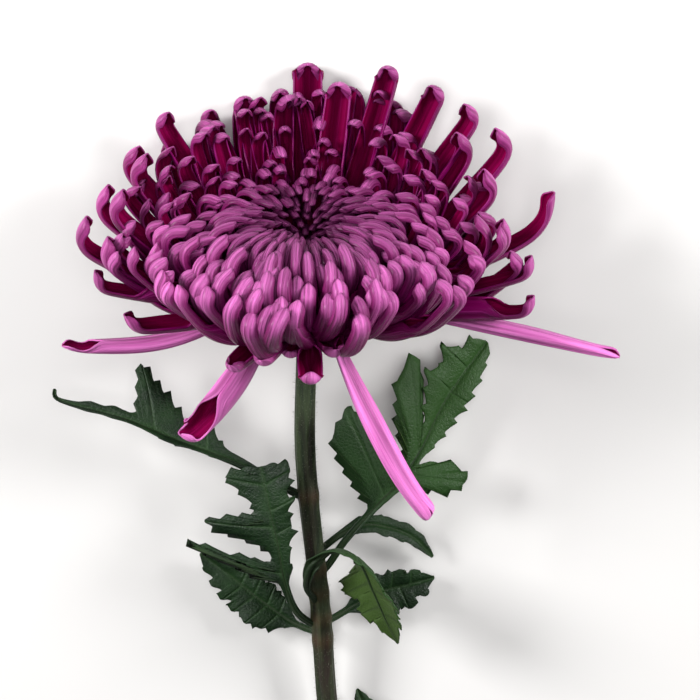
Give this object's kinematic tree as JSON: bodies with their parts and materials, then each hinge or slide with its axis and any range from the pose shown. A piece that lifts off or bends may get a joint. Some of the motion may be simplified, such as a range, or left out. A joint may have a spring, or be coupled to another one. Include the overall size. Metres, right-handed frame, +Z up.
{
  "type": "chrysanthemum",
  "caption": "Cut chrysanthemum lying down: a large incurved bloom of hooked quill and spoon petals on a ribbed stem with lobed leaves.",
  "frame": {"origin": "on the surface that the flower lies on, under the middle of its bounding box", "axes": "+Z up, +Y along the stem towards the bloom, +X to the right as seen from above"},
  "size_m": [0.1628, 0.2496, 0.074],
  "materials": {
    "petal": "fresh petal, satin, magenta with paler backs",
    "bract": "matt green bracts",
    "stem": "ribbed, downy, grey green with a purple tinge",
    "leaf": "matt dark green, paler and yellower below"
  },
  "bodies": {
    "root": {"bloom": "petal", "cup": "bract", "stem": "stem", "leaf_upper_right": "leaf", "leaf_upper_left": "leaf", "leaf_middle_left": "leaf", "leaf_lower_left": "leaf", "leaf_front": "leaf", "leaf_lower_right": "leaf", "leaf_middle_right": "leaf", "leaf_bottom": "leaf"}
  },
  "joints": []
}
